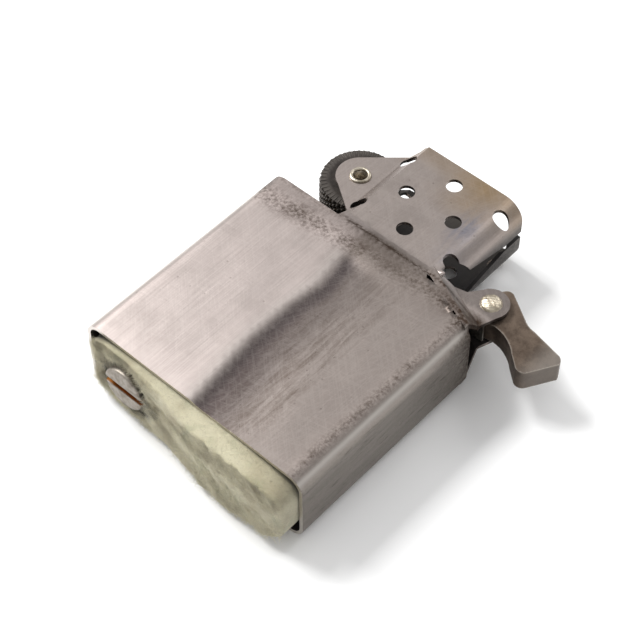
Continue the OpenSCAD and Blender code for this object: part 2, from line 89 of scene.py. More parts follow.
def ease(value, low, high):
    # Smooth step: 3t^2 - 2t^3 of the share of the way from low to high.
    t = np.clip((value - low) / (high - low), 0, 1)
    return t * t * (3 - 2 * t)


def bump(value, centre, width):
    # Bell curve: e to the minus square of the distance over the width.
    return np.exp(-(((value - centre) / width) ** 2))


def ripple(x, y, size, seed):
    # Gentle waves: the mean of five sines whose directions and phases come from the seed.
    local = np.random.default_rng(seed)
    total = np.zeros_like(x)
    turns, phases = local.uniform(0, 6.28, 5), local.uniform(0, 6.28, 5)
    for turn, phase, stretch in zip(turns, phases, (1, 1.3, 1.7, 2.1, 2.9)):
        total += np.sin((x * math.cos(turn) + y * math.sin(turn)) * 6.28 * stretch / size + phase)
    return total / 5


def makePiece(name, points, faces, body, material, nodes=(), slotName=None, smoothAngle=40):
    # Points are in millimetres; faces are rows of three or four indices.
    mesh = bpy.data.meshes.new(name)
    mesh.from_pydata((np.asarray(points) * mm).tolist(), [], np.asarray(faces).tolist())
    mesh.materials.append(material)
    piece = bpy.data.objects.new(name, mesh)
    bpy.context.scene.collection.objects.link(piece)
    mesh.shade_smooth()
    if smoothAngle < 180:
        mesh.set_sharp_from_angle(angle=math.radians(smoothAngle))
    if body:
        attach(piece, body)
    if nodes:
        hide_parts(*nodes)
    return piece


def ringFaces(rows, columns, closeRows=False, outward=True):
    # Quads of a grid whose columns close on themselves, and whose rows may too.
    last = rows if closeRows else rows - 1
    row, column = np.meshgrid(np.arange(last), np.arange(columns), indexing="ij")
    nextRow, nextColumn = (row + 1) % rows, (column + 1) % columns
    here, there = row * columns, nextRow * columns
    quad = [here + column, here + nextColumn, there + nextColumn, there + column]
    faces = np.stack(quad, -1).reshape(-1, 4)
    return faces if outward else faces[:, ::-1]


def denseCopy(node, longest):
    # The node's own surface in triangles whose edges are no longer than this, in millimetres.
    work = bmesh.new()
    work.from_mesh(frame["nodes"][node].data)
    bmesh.ops.remove_doubles(work, verts=work.verts, dist=2e-6)
    for step in range(8):
        longEdges = [e for e in work.edges if e.calc_length() > longest * mm]
        if not longEdges:
            break
        bmesh.ops.subdivide_edges(work, edges=longEdges, cuts=1)
        bmesh.ops.triangulate(work, faces=work.faces)
    bmesh.ops.recalc_face_normals(work, faces=work.faces)
    scratch = bpy.data.meshes.new("scratch")
    work.to_mesh(scratch)
    work.free()
    points = np.zeros(len(scratch.vertices) * 3)
    scratch.vertices.foreach_get("co", points)
    faces = np.zeros(len(scratch.polygons) * 3, int)
    scratch.polygons.foreach_get("vertices", faces)
    normals = np.zeros(len(scratch.vertices) * 3)
    scratch.vertices.foreach_get("normal", normals)
    bpy.data.meshes.remove(scratch)
    return points.reshape(-1, 3) / mm, faces.reshape(-1, 3), normals.reshape(-1, 3)


def paint(piece, name, values, domain="POINT"):
    # Stores one number per point or face, for the materials to read.
    layer = piece.data.attributes.new(name, "FLOAT", domain)
    layer.data.foreach_set("value", np.asarray(values, np.float32))


def faceNormals(points, faces):
    a, b, c = points[faces[:, 0]], points[faces[:, 1]], points[faces[:, 2]]
    normal = np.cross(b - a, c - a)
    return normal / np.maximum(np.linalg.norm(normal, axis=1, keepdims=True), 1e-12)


def roundEdges(piece, width, segments=2, angle=35):
    # A small live bevel that catches light along sharp edges; the width is in millimetres.
    modifier = piece.modifiers.new("edges", "BEVEL")
    modifier.width = width * mm
    modifier.segments = segments
    modifier.limit_method = "ANGLE"
    modifier.angle_limit = math.radians(angle)
    modifier.use_clamp_overlap = True


class Wire:
    # One output socket, whose arithmetic adds Math nodes to its tree.
    def __init__(self, graph, socket):
        self.graph = graph
        self.socket = socket

    def math(self, operation, *values, clamp=False):
        node = self.graph.tree.nodes.new("ShaderNodeMath")
        node.operation = operation
        node.use_clamp = clamp
        for place, value in zip(node.inputs, values):
            self.graph.feed(place, value)
        return Wire(self.graph, node.outputs[0])

    def __add__(self, other):
        return self.math("ADD", self, other)

    def __sub__(self, other):
        return self.math("SUBTRACT", self, other)

    def __rsub__(self, other):
        return self.math("SUBTRACT", other, self)

    def __mul__(self, other):
        return self.math("MULTIPLY", self, other)

    __radd__ = __add__
    __rmul__ = __mul__

    def clamped(self):
        return self.math("ADD", self, 0.0, clamp=True)

    def between(self, low, high):
        # Smooth step from low to high.
        settings = {"interpolation_type": "SMOOTHSTEP"}
        return self.graph.node("ShaderNodeMapRange", settings, {0: self, 1: low, 2: high})


class Graph:
    # A material's node tree with a Principled shader, and short ways to add to it.
    def __init__(self, name, **settings):
        self.material = bpy.data.materials.new(name)
        self.material.use_nodes = True
        self.tree = self.material.node_tree
        self.tree.nodes.clear()
        self.shader = self.tree.nodes.new("ShaderNodeBsdfPrincipled")
        out = self.tree.nodes.new("ShaderNodeOutputMaterial")
        self.tree.links.new(self.shader.outputs[0], out.inputs["Surface"])
        self.set(**settings)

    def feed(self, place, value):
        if isinstance(value, Wire):
            self.tree.links.new(value.socket, place)
        elif isinstance(value, (tuple, list)) and len(value) == 3 and place.type == "RGBA":
            place.default_value = (*value, 1)
        else:
            place.default_value = value

    def node(self, kind, settings=None, inputs=None, output=0):
        made = self.tree.nodes.new(kind)
        for key, value in (settings or {}).items():
            setattr(made, key, value)
        for key, value in (inputs or {}).items():
            self.feed(made.inputs[key], value)
        return Wire(self, made.outputs[output])

    def set(self, **values):
        for key, value in values.items():
            self.feed(self.shader.inputs[key.replace("_", " ")], value)

    def place(self, scale=(1, 1, 1), offset=(0, 0, 0)):
        # Object coordinates in millimetres, moved and then stretched along each axis.
        raw = self.node("ShaderNodeTexCoord", output=3)
        shifted = self.node(
            "ShaderNodeVectorMath", {"operation": "SUBTRACT"}, {0: raw, 1: tuple(np.array(offset) * mm)}
        )
        size = tuple(np.array(scale, float) / mm)
        return self.node("ShaderNodeVectorMath", {"operation": "MULTIPLY"}, {0: shifted, 1: size})

    def noise(self, size, detail=4, rough=0.55, scale=(1, 1, 1), warp=0.0):
        # Fractal noise whose largest blobs are about this many millimetres across.
        inputs = {"Vector": self.place(scale), "Scale": 1 / size, "Detail": detail}
        inputs.update({"Roughness": rough, "Distortion": warp})
        return self.node("ShaderNodeTexNoise", {"noise_dimensions": "3D"}, inputs)

    def cells(self, size):
        # Distance to the nearest of scattered points about this many millimetres apart.
        inputs = {"Vector": self.place(), "Scale": 1 / size}
        return self.node("ShaderNodeTexVoronoi", {"feature": "F1"}, inputs)

    def attribute(self, name):
        return self.node("ShaderNodeAttribute", {"attribute_name": name}, output=2)

    def mix(self, share, first, second):
        # Colour mix: first times (1 - share) plus second times share.
        made = self.tree.nodes.new("ShaderNodeMix")
        made.data_type = "RGBA"
        for key, value in ((0, share), (6, first), (7, second)):
            self.feed(made.inputs[key], value)
        return Wire(self, made.outputs[2])

    def relief(self, *layers):
        # Layers of (height, depth in millimetres), each bumped on top of the last.
        normal = None
        for height, depth in layers:
            made = self.tree.nodes.new("ShaderNodeBump")
            made.inputs["Distance"].default_value = depth * mm
            self.feed(made.inputs["Height"], height)
            if normal is not None:
                self.feed(made.inputs["Normal"], normal)
            normal = Wire(self, made.outputs[0])
        self.set(Normal=normal)


def scratches(g, size, angle, seed):
    # Sparse fine lines: where stretched noise passes close to its middle value.
    spin = {"Vector": g.place(), "Angle": angle}
    turned = g.node("ShaderNodeVectorRotate", {"rotation_type": "Z_AXIS"}, spin)
    shifted = g.node("ShaderNodeVectorMath", {"operation": "ADD"}, {0: turned, 1: (seed, seed * 1.7, 0)})
    stretch = (1 / size, 0.035 / size, 1 / size)
    long = g.node("ShaderNodeVectorMath", {"operation": "MULTIPLY"}, {0: shifted, 1: stretch})
    wave = g.node("ShaderNodeTexNoise", {}, {"Vector": long, "Scale": 1.0, "Detail": 2, "Roughness": 0.5})
    return 1 - ((wave - 0.5).math("ABSOLUTE", wave - 0.5) * 26).clamped()


tankLook = {
    # bright: colour of the painted reflection, on the front face left of the trough
    "bright": (0.47, 0.408, 0.385),
    "plain": (0.29, 0.250, 0.228),
    # violet: painted shade on the trough's left flank
    "violet": (0.060, 0.048, 0.052),
    # brown: heat tint on the screen, and painted shade in the trough
    "brown": (0.070, 0.046, 0.032),
    # dark colour for grimy patches and for painted shade
    "grimeAndShade": (0.038, 0.023, 0.015),
    # side: colour of the painted shade on the rounded side walls
    "side": (0.19, 0.172, 0.150),
    "soot": (0.012, 0.010, 0.009),
    "straw": (0.27, 0.185, 0.095),
    "blue": (0.16, 0.165, 0.21),
    # edge: light colour for scratches, painted highlights and the cut ends
    "edge": (0.62, 0.58, 0.54),
}


def tankMaterial():
    # Steel brushed along Y. Each tint's share is its painted mask times a noise. Besides stains and heat
    # tints, some tints are painted light: a painted reflection on the left panel, painted shade on the side
    # walls and in the trough, and painted highlights along the edges.
    g = Graph("tankSteel", Metallic=1.0)
    look = tankLook
    lines = g.noise(0.16, 3, 0.6, (1, 0.02, 1))
    wideLines = g.noise(0.9, 4, 0.6, (1, 0.035, 1))
    across = g.noise(0.22, 2, 0.5, (0.04, 1, 1))
    clouds = g.noise(7, 5, 0.6)
    speckle = g.noise(0.45, 5, 0.75)
    streaks = g.noise(0.7, 6, 0.7, (1, 0.12, 1), 0.4)
    pits = g.cells(2.3)
    marks = scratches(g, 0.5, 0.5, 3.1) + scratches(g, 0.7, -0.85, 9.4) + scratches(g, 0.6, 1.35, 5.2)
    # Painted reflection: left of the trough the front face is painted bright, the rest of the tank plain,
    # and the screen mostly plain.
    colour = g.mix(g.attribute("plain"), look["bright"], look["plain"])
    brushed = ((lines - 0.5) * 1.5 + (wideLines - 0.5) * 1.1 + 0.42).clamped()
    colour = g.mix(brushed * 0.42, colour, (0.17, 0.145, 0.135))
    colour = g.mix((clouds.between(0.42, 0.72)) * 0.3, colour, (0.20, 0.172, 0.158))
    # Painted shade on the rounded side walls, deeper away from the face, then darker streaks over it.
    colour = g.mix(g.attribute("side") * (0.45 + wideLines.between(0.3, 0.7) * 0.5), colour, look["side"])
    colour = g.mix(g.attribute("side") * streaks.between(0.55, 0.7) * 0.65, colour, look["grimeAndShade"])
    # Painted shade in the dented trough: brown streaks and dark specks, deeper lower down.
    colour = g.mix(g.attribute("trough") * streaks.between(0.34, 0.74) * 0.62, colour, look["brown"])
    colour = g.mix(g.attribute("trough") * speckle.between(0.57, 0.7) * 0.6, colour, look["grimeAndShade"])
    # Painted shade in dark violet along the trough's left flank.
    colour = g.mix(g.attribute("band") * (0.55 + speckle * 0.5), colour, look["violet"])
    colour = g.mix(g.attribute("straw") * (0.45 + clouds * 0.6), colour, look["straw"])
    colour = g.mix(g.attribute("blue") * streaks.between(0.3, 0.65), colour, look["blue"])
    colour = g.mix(g.attribute("heat") * (0.55 + clouds * 0.7).clamped(), colour, look["brown"])
    colour = g.mix(g.attribute("burnt") * (0.65 + speckle * 0.5).clamped(), colour, look["soot"])
    specks = (speckle * 0.6 + clouds * 0.4).between(0.38, 0.62)
    # Grimy speckled patches below the shoulder and at the seam, and a painted shade line along the front's
    # right rounding.
    colour = g.mix((g.attribute("grimeAndShade") * 1.6 * specks).clamped(), colour, look["grimeAndShade"])
    colour = g.mix(marks.clamped() * 0.06, colour, look["edge"])
    # A darker band below the shoulder, and painted shade across the trough.
    colour = g.mix(g.attribute("fog") * (0.35 + clouds * 0.8).clamped(), colour, look["grimeAndShade"])
    # Painted highlight along the long front edges, and a faint lighter streak by the trough's left edge.
    colour = g.mix(g.attribute("paintedHighlight") * 0.75, colour, look["edge"])
    colour = g.mix((1 - pits.between(0.03, 0.08)) * 0.3, colour, look["grimeAndShade"])
    # Cut ends of the sheet: bare metal, painted lighter also as a highlight.
    colour = g.mix(g.attribute("cut") * (0.6 + lines * 0.5).clamped(), colour, look["edge"])
    colour = g.mix(g.attribute("soot"), colour, look["soot"])
    rough = 0.33 + wideLines * 0.12 + g.attribute("grimeAndShade") * 0.25
    rough = rough + g.attribute("heat") * 0.12 + g.attribute("soot") * 0.3
    rough = rough - g.attribute("cut") * 0.1 + speckle * 0.06
    g.set(Base_Color=colour, Roughness=rough.clamped(), Metallic=(1 - g.attribute("soot") * 0.8).clamped())
    fineRelief = ((lines, 0.012), (across, 0.004), (streaks, 0.010), (marks, -0.0012))
    g.relief(*fineRelief, (pits.between(0.0, 0.12), 0.006))
    return g.material


def plainMetal(name, colour, dark, rough, size=1.0, depth=0.01, stretch=(1, 1, 1), stain=0.5):
    # A metal with cloudy stains: the share of dark is a smooth step of noise times stain.
    g = Graph(name, Metallic=1.0)
    clouds = g.noise(size, 6, 0.65, stretch)
    grain = g.noise(size * 0.15, 3, 0.6, stretch)
    marks = scratches(g, 0.4, 0.9, 2.2)
    tone = g.mix(clouds.between(0.38, 0.68) * stain, colour, dark)
    tone = g.mix(grain * 0.35, tone, tuple(c * 0.55 for c in colour))
    tone = g.mix(marks * 0.25, tone, tuple(min(1, c * 1.5) for c in colour))
    g.set(Base_Color=tone, Roughness=(rough + clouds * 0.16 + grain * 0.06).clamped())
    g.relief((clouds, depth * 1.5), (grain, depth))
    return g.material


def leverMaterial():
    # Brown case-hardened steel whose painted edges are worn bright.
    g = Graph("leverSteel", Metallic=1.0)
    clouds = g.noise(1.8, 6, 0.65)
    grain = g.noise(0.22, 4, 0.7)
    wear = (g.attribute("worn") * (0.35 + grain * 1.1)).clamped()
    colour = g.mix(clouds.between(0.35, 0.68), (0.135, 0.103, 0.08), (0.078, 0.058, 0.045))
    colour = g.mix(grain.between(0.56, 0.72) * 0.6, colour, (0.04, 0.03, 0.024))
    colour = g.mix(g.attribute("foot") * 0.55, colour, (0.24, 0.22, 0.20))
    colour = g.mix(wear, colour, (0.46, 0.42, 0.37))
    g.set(Base_Color=colour, Roughness=(0.5 - wear * 0.18 + grain * 0.12).clamped())
    g.relief((clouds, 0.03), (grain, 0.012))
    return g.material


def wheelMaterial():
    # Nearly black steel; the painted tips of the teeth and grooves carry the lighter streaks.
    g = Graph("wheelSteel", Metallic=0.9)
    grain = g.noise(0.25, 5, 0.7)
    clouds = g.noise(2.2, 4, 0.6)
    tips = (g.attribute("tips") * (0.3 + grain)).clamped()
    colour = g.mix(clouds.between(0.35, 0.7), (0.052, 0.045, 0.04), (0.028, 0.024, 0.022))
    colour = g.mix(tips * 0.75, colour, (0.17, 0.155, 0.14))
    g.set(Base_Color=colour, Roughness=(0.5 + grain * 0.2 - tips * 0.12).clamped())
    g.relief((grain, 0.02))
    return g.material


def feltMaterial(name, light):
    # Cream wool mottled with beige, green and brown; a painted mask darkens it: dirty round the screw hole,
    # darker towards both ends, and painted shade where the felt dips under the rim.
    g = Graph(name, Roughness=0.95, Sheen_Weight=0.35, Sheen_Roughness=0.6)
    blotch = g.noise(4.5, 5, 0.6)
    green = g.noise(2.6, 4, 0.6, warp=0.6)
    fuzz = g.noise(0.35, 5, 0.75, warp=1.2)
    fine = g.noise(0.12, 3, 0.7)
    cream = tuple(light * c for c in (0.66, 0.61, 0.42))
    colour = g.mix(blotch.between(0.38, 0.66), cream, (0.50, 0.44, 0.28))
    colour = g.mix(green.between(0.5, 0.7) * 0.5, colour, (0.40, 0.40, 0.24))
    colour = g.mix(fuzz.between(0.5, 0.68) * 0.45, colour, (0.36, 0.31, 0.20))
    colour = g.mix((g.attribute("dirtAndShade") * (0.7 + fuzz * 0.6)).clamped(), colour, (0.06, 0.047, 0.03))
    g.set(Base_Color=colour)
    g.relief((blotch, 0.5), (fuzz, 0.3), (fine, 0.1))
    return g.material


def screwMaterial():
    # Grey steel; below the head's face the slot shows coppery brown, by the painted depth mask.
    g = Graph("screwSteel", Metallic=1.0)
    clouds = g.noise(1.1, 5, 0.65)
    grain = g.noise(0.18, 4, 0.7, (1, 1, 0.15))
    colour = g.mix(clouds.between(0.36, 0.66) * 0.8, (0.36, 0.33, 0.29), (0.16, 0.13, 0.10))
    colour = g.mix(grain * 0.3, colour, (0.12, 0.10, 0.08))
    colour = g.mix((g.attribute("slot") * (0.7 + clouds * 0.6)).clamped(), colour, (0.34, 0.135, 0.03))
    g.set(Base_Color=colour, Roughness=(0.36 + clouds * 0.2).clamped())
    g.relief((clouds, 0.02), (grain, 0.012))
    return g.material


def wickMaterial():
    # Cotton cord, straw coloured, and charred black towards the tip by the painted mask.
    g = Graph("wickCotton", Roughness=0.95, Sheen_Weight=0.3)
    fibres = g.noise(0.2, 5, 0.7, (1, 0.3, 1))
    colour = g.mix(fibres.between(0.4, 0.65), (0.52, 0.45, 0.32), (0.28, 0.22, 0.14))
    colour = g.mix((g.attribute("char") * (0.6 + fibres)).clamped(), colour, (0.012, 0.010, 0.009))
    g.set(Base_Color=colour)
    g.relief((fibres, 0.06))
    return g.material


def cottonMaterial():
    # White wool: a slight warm mottling and deep soft relief.
    g = Graph("cottonWool", Roughness=1.0, Sheen_Weight=0.4)
    fluff = g.noise(1.2, 6, 0.7, warp=1.0)
    g.set(Base_Color=g.mix(fluff, (0.86, 0.84, 0.79), (0.66, 0.62, 0.54)))
    g.relief((fluff, 0.5))
    return g.material


dent = {
    "heights": np.array([-34, -32, -22, -15, -10.4, -4.6, -2]),
    "leftEdge": np.array([0.5, 0.4, -0.9, -1.0, -0.4, -1.4, -1.6]),
    "rightEdgeTop": 8.7,
    "rightEdgeBottom": 9.6,
    "depth": 0.34,
}


def dentShare(x, above):
    # Share of the way from the trough's left edge to its right edge, at each height above the shoulder.
    left = np.interp(above, dent["heights"], dent["leftEdge"])
    right = np.interp(above, [-32, -9], [dent["rightEdgeBottom"], dent["rightEdgeTop"]])
    return (x - left) / (right - left), x - left


def tankSheet():
    # The folded sheet: its own solid, dented by a lengthwise trough in the front face.
    points, faces, normals = denseCopy("tank_shell", 1.1)
    x, y, z = points.T
    above = y - shoulderY
    share, past = dentShare(x, above)
    front = ease(z, midZ + 3.5, midZ + 5.0) * ease(sideX - 2.3 - np.abs(x), 0, 2)
    fade = ease(-above, 3.2, 5.5) * front
    trough = ease(share, -0.03, 0.1) * np.clip(1 - share, 0, 1) ** 1.3
    z = z - dent["depth"] * trough * fade
    z = z + 0.05 * bump(past, -1.6, 1.6) * fade
    outwards = np.sign(z - midZ)
    waves = 0.035 * ripple(x, y, 21, 4) * ease(-above, 1, 5) * outwards
    waves = waves * ease(sideX - np.abs(x), 2.4, 7)
    screenWaves = 0.03 * ripple(x, y, 8, 9) * ease(above, 2.5, 6) * outwards
    screenWaves = screenWaves * ease(np.abs(z - midZ), 3.5, 5)
    z = z + np.where(y - rimY > 0.8, waves, waves * 0.3) + screenWaves
    z = np.clip(z, shellLow[2], None)
    points = np.stack([x, y, z], 1)
    piece = makePiece("tankSheet", points, faces, "tank", tankMaterial(), ["tank_shell"], "tank_steel", 33)
    inTank = above < 1.5
    rounded = ease(np.abs(x), sideX - 1.9, sideX - 0.4)
    inFront = (z > midZ).astype(float)
    leftHalf = ease(-past, -0.3, 1.0)
    painted = {
        # plain: share of the plain colour; left of the trough the face keeps the painted bright reflection
        "plain": (1 - leftHalf) * inTank + 0.75 * (above > 1.5),
        # band: painted shade along the trough's left flank, with a wider faint band beside it
        "band": 0.95 * bump(past, 1.0, 1.1) * fade
        + bump(past, 3.0, 2.6) * (0.35 + 0.35 * ease(-above, 8, 30)) * fade,
        # trough: painted shade in the dent, stronger further below the shoulder
        "trough": ease(share, 0.0, 0.3)
        * ease(1.06 - share, 0, 0.14)
        * fade
        * (0.5 + 0.5 * ease(-above, 3, 18)),
        # painted highlight: thin lines along the long front edges, and a faint streak by the trough's left
        # edge
        "paintedHighlight": bump(np.abs(x), sideX - 0.75, 0.28) * inFront * inTank * ease(-above, 2.5, 5)
        + 0.3 * bump(past, -0.9, 0.7) * fade,
        # side: painted shade on the rounded side walls
        "side": rounded * inTank * (0.55 + 0.45 * ease(faceZ - z, 0.6, 2.2)),
        # a darker band below the shoulder, and painted shade across the trough
        "fog": 0.42 * bump(above, -1.2, 3.2) * inTank
        + 0.30 * bump(past, 2.2, 2.6) * fade * ease(-above, 0, 14),
        "grimeAndShade": inTank
        * (
            bump(above, -2.6 + 0.06 * x, 1.6) * (0.62 - 0.25 * bump(x, 3.5, 4.5))
            + 0.75 * bump(above, 0.3, 0.45)
            + 0.5 * rounded * bump(above, -3, 4.5)
            # painted shade line where the front face starts to round off on the right
            + 0.5 * bump(x, sideX - 2.1, 0.75) * inFront
        ),
        "heat": 0.3 * (above > 1.5)
        + ease(above, 4, 14) * ease(x, -3, 9) * 0.55
        + ease(-x, 5.5, 8.0) * ease(above, 1.5, 6) * 0.95
        + ease(x, 10.4, 12.5) * bump(above, 1.0, 5) * 0.85
        + ease(x, 6.0, 9.5) * (above > 1.5) * 0.35,
        "straw": ease(above, 8.5, 13) * bump(x, 4.5, 4) * 0.6 + ease(above, 13.5, 16.6) * 0.45,
        "blue": 0.8 * bump(above, 9.5, 2.8) * bump(x, 6.6, 1.7)
        + 0.6 * bump(above, 4.3, 1.7) * bump(x, 8.6, 1.8),
        "burnt": ease(faceZ - z, 2.2, 5.2) * ease(x, wallX - 2.2, wallX - 0.3) * (above > 2) * (above < 40),
    }
    for name, values in painted.items():
        paint(piece, name, np.clip(values, 0, 1))
    centres = points[faces].mean(1)
    across = faceNormals(points, faces)
    high = centres[:, 1] > shoulderY + 1.2
    screenX = np.clip(centres[:, 0], creaseX, wallX - 3)
    tankX = np.clip(centres[:, 0], 3 - sideX, sideX - 3)
    spanX = np.where(high, screenX, tankX)
    facing = across[:, 0] * (centres[:, 0] - spanX) + across[:, 2] * (centres[:, 2] - midZ)
    cut = np.abs(across[:, 1]) > 0.8
    paint(piece, "soot", ((facing < -0.05) & ~cut) * 0.93, "FACE")
    # cut ends: bare metal with a painted highlight
    atEnds = (centres[:, 1] < rimY + 0.6) | (centres[:, 1] > shellHigh[1] - 0.6)
    paint(piece, "cut", cut & atEnds, "FACE")
    roundEdges(piece, 0.07, 1, 50)
    return piece


def strikerWheel():
    # A ring swept round Z: its radius drops by a tooth depth where two crossing families of cuts pass.
    low, high = corners("striker_wheel")
    radius, half = (high[0] - low[0]) / 2, (high[2] - low[2]) / 2
    hole, teeth, angles = 1.25, 48, 48 * 14
    boss = np.array([[hole, half], [hole + 0.15, half], [2.6, half], [3.3, half], [3.9, half]])
    flank = np.stack([np.linspace(4.0, radius - 0.25, 14), np.full(14, half)], 1)
    band = np.stack([np.full(30, radius), np.linspace(half - 0.28, 0, 30)], 1)
    upper = np.concatenate([boss, flank, band])
    profile = np.concatenate([upper, (upper * [1, -1])[::-1][1:]])
    turn = np.arange(angles) * 2 * math.pi / angles
    r, z = np.repeat(profile[:, :1], angles, 1), np.repeat(profile[:, 1:], angles, 1)
    phase = turn[None, :] * teeth / (2 * math.pi)
    onBand = ease(r, radius - 0.3, radius - 0.02)
    onFlank = ease(r, 3.9, radius - 0.6) * (1 - onBand)
    saw = (phase + 0.25 * z / half * 2.2) % 1
    cross = (phase * 0.5 - z * 1.1) % 1
    cutDepth = 0.34 * np.abs(saw - 0.3).clip(0, 0.7) / 0.7 + 0.3 * bump(cross, 0.5, 0.16)
    grooves = np.clip(np.sin(phase * 2 * math.pi) * 0.6 + np.sin(phase * 4 * math.pi + 1.3) * 0.4, 0, 1)
    newR = r - onBand * cutDepth
    newZ = z - np.sign(z) * (onFlank * grooves * 0.14 + 0.12 * bump(r, 3.55, 0.25))
    points = np.stack([wheelAt[0] + newR * np.cos(turn), wheelAt[1] + newR * np.sin(turn), midZ + newZ], -1)
    faces = ringFaces(len(profile), angles, closeRows=True, outward=False)
    shape = (points.reshape(-1, 3), faces, "wheel", wheelMaterial())
    piece = makePiece("strikerWheel", *shape, ["striker_wheel"], "wheel_steel", 30)
    tips = onBand * (1 - cutDepth / 0.6) + onFlank * (1 - grooves) * 0.5
    paint(piece, "tips", np.clip(tips, 0, 1).reshape(-1))


def camLever():
    # The lever's own solid with softened edges; wear is painted where points lie near the outline.
    points, faces, normals = denseCopy("cam_lever", 0.3)
    top = (points[:, 2] - midZ) / (corners("cam_lever")[1][2] - midZ)
    edge = 1 - np.abs(normals[:, 2]).clip(0, 1) ** 2
    worn = edge * ease(np.abs(top), 0.9, 1.0)
    points[:, 2] += 0.03 * ripple(points[:, 0], points[:, 1], 4, 3) * (np.abs(top) > 0.95)
    piece = makePiece("camLever", points, faces, "lever", leverMaterial(), ["cam_lever"], "lever_steel", 40)
    paint(piece, "worn", np.clip(worn, 0, 1) * 0.9)
    paint(piece, "foot", ease(points[:, 0], leverRivetAt[0] + 7.5, leverRivetAt[0] + 11))
    roundEdges(piece, 0.16, 3, 40)


def rivetHead(r, dome, lip):
    # Height of a hammered head: a dome that falls as the square of the radius, then a rolled lip.
    return dome * (1 - r**2) + lip * bump(r, 0.8, 0.14)


def camRivet():
    # A solid rivet lathed from shank to both heads, with hammered facets.
    low, high = corners("cam_rivet")
    headR, half = (high[0] - low[0]) / 2, (high[2] - low[2]) / 2
    angles = 96
    share = np.linspace(0.001, 1, 26)
    topZ = half - 0.42 + rivetHead(share, 0.42, 0.0) - 0.16 * ease(share, 0.8, 1)
    upper = np.stack([share * headR, topZ], 1)
    shank = np.array([[headR, half - 0.58], [1.0, half - 0.6]])
    profile = np.concatenate([upper, shank])
    profile = np.concatenate([profile, (profile * [1, -1])[::-1]])
    turn = np.arange(angles) * 2 * math.pi / angles
    r, z = np.repeat(profile[:, :1], angles, 1), np.repeat(profile[:, 1:], angles, 1)
    x, y = r * np.cos(turn), r * np.sin(turn)
    marks = 0.09 * ripple(x, y, 1.5, 12) * (np.abs(z) > half - 0.58)
    z = z + np.sign(z) * (marks - 0.05)
    points = np.stack([leverRivetAt[0] + x, leverRivetAt[1] + y, midZ + z], -1).reshape(-1, 3)
    faces = ringFaces(len(profile), angles, outward=False)
    look = plainMetal("hammeredSteel", (0.55, 0.49, 0.39), (0.30, 0.25, 0.18), 0.3, 0.8, 0.03, stain=0.7)
    makePiece("camRivet", points, faces, "tank", look, ["cam_rivet"], "rivet_steel", 40)


def wheelRivet():
    # A hollow rivet: the tube's rim is rolled outwards over both ears.
    low, high = corners("wheel_rivet")
    outR, half = (high[0] - low[0]) / 2, (high[2] - low[2]) / 2
    angles = 96
    roll = np.linspace(-0.6, 1.15, 16) * math.pi
    lipR, lipC = 0.27, outR - 0.27
    lip = np.stack([lipC - lipR * np.cos(roll), half - lipR + lipR * np.sin(roll) * 1.0], 1)
    inner = np.array([[0.9, 0.2], [0.9, half - 0.9]])
    outer = np.array([[1.2, half - 0.75], [1.2, 0.2]])
    upper = np.concatenate([inner, lip, outer])
    profile = np.concatenate([upper, (upper * [1, -1])[::-1]])
    turn = np.arange(angles) * 2 * math.pi / angles
    r, z = np.repeat(profile[:, :1], angles, 1), np.repeat(profile[:, 1:], angles, 1)
    r = r + 0.04 * np.sin(turn * 3 + 1) * ease(r, 1.25, outR)
    x, y = r * np.cos(turn), r * np.sin(turn)
    points = np.stack([wheelAt[0] + x, wheelAt[1] + y, midZ + z], -1).reshape(-1, 3)
    faces = ringFaces(len(profile), angles, closeRows=True, outward=False)
    look = plainMetal("rolledSteel", (0.50, 0.45, 0.37), (0.10, 0.08, 0.045), 0.3, 0.7, 0.02, stain=0.8)
    makePiece("wheelRivet", points, faces, "tank", look, ["wheel_rivet"], "rivet_steel", 50)


def flintScrew():
    # The screw's own solid with eased edges; the slot mask is the depth below the head's face.
    points, faces, normals = denseCopy("flint_screw", 0.3)
    low, high = corners("flint_screw")
    shape = (points, faces, "screw", screwMaterial())
    piece = makePiece("flintScrew", *shape, ["flint_screw"], "screw_steel", 40)
    radial = np.hypot(points[:, 0] - wheelAt[0], points[:, 2] - midZ)
    inSlot = (points[:, 1] > low[1] + 0.12) & (points[:, 1] < low[1] + 1.0)
    inSlot = inSlot & (np.abs(points[:, 2] - midZ) < 0.62)
    paint(piece, "slot", (inSlot & (radial < 3.3)) * 1.0)
    roundEdges(piece, 0.09, 2, 45)


felt = {"halfWidth": 17.2, "halfDepth": 5.2, "power": 4.6, "hole": 3.95, "inner": 3.0}


def feltSurface(columns, rows):
    # Straight rays from the screw hole's rim to a superellipse; the outer face then bulges by a curve of X.
    turn = np.linspace(0, 2 * math.pi, columns, endpoint=False)
    cx, cz = np.cos(turn), np.sin(turn)
    edgeX = felt["halfWidth"] * np.sign(cx) * np.abs(cx) ** (2 / felt["power"])
    edgeZ = felt["halfDepth"] * np.sign(cz) * np.abs(cz) ** (2 / felt["power"])
    toX, toZ = edgeX - wheelAt[0], edgeZ
    reach = np.hypot(toX, toZ)
    hole = felt["hole"] + 0.22 * np.sin(turn * 5 + 1) + 0.15 * np.sin(turn * 13)
    holeX, holeZ = wheelAt[0] + toX / reach * hole, toZ / reach * hole
    share = np.linspace(0, 1, rows)[:, None]
    x = holeX + (edgeX - holeX) * share
    z = holeZ + (edgeZ - holeZ) * share
    return x, z, share


def feltOut(x):
    # How far the felt's outer face stands out of the rim along X.
    places = [-17.2, -16, -8.7, -4, 2.6, 9, 15, 17.2]
    stands = np.interp(x, places, [-0.2, 0.85, 1.2, 1.6, 2.85, 3.1, 3.1, 2.7])
    return stands + 0.10 * ripple(x, x * 0, 9, 5)


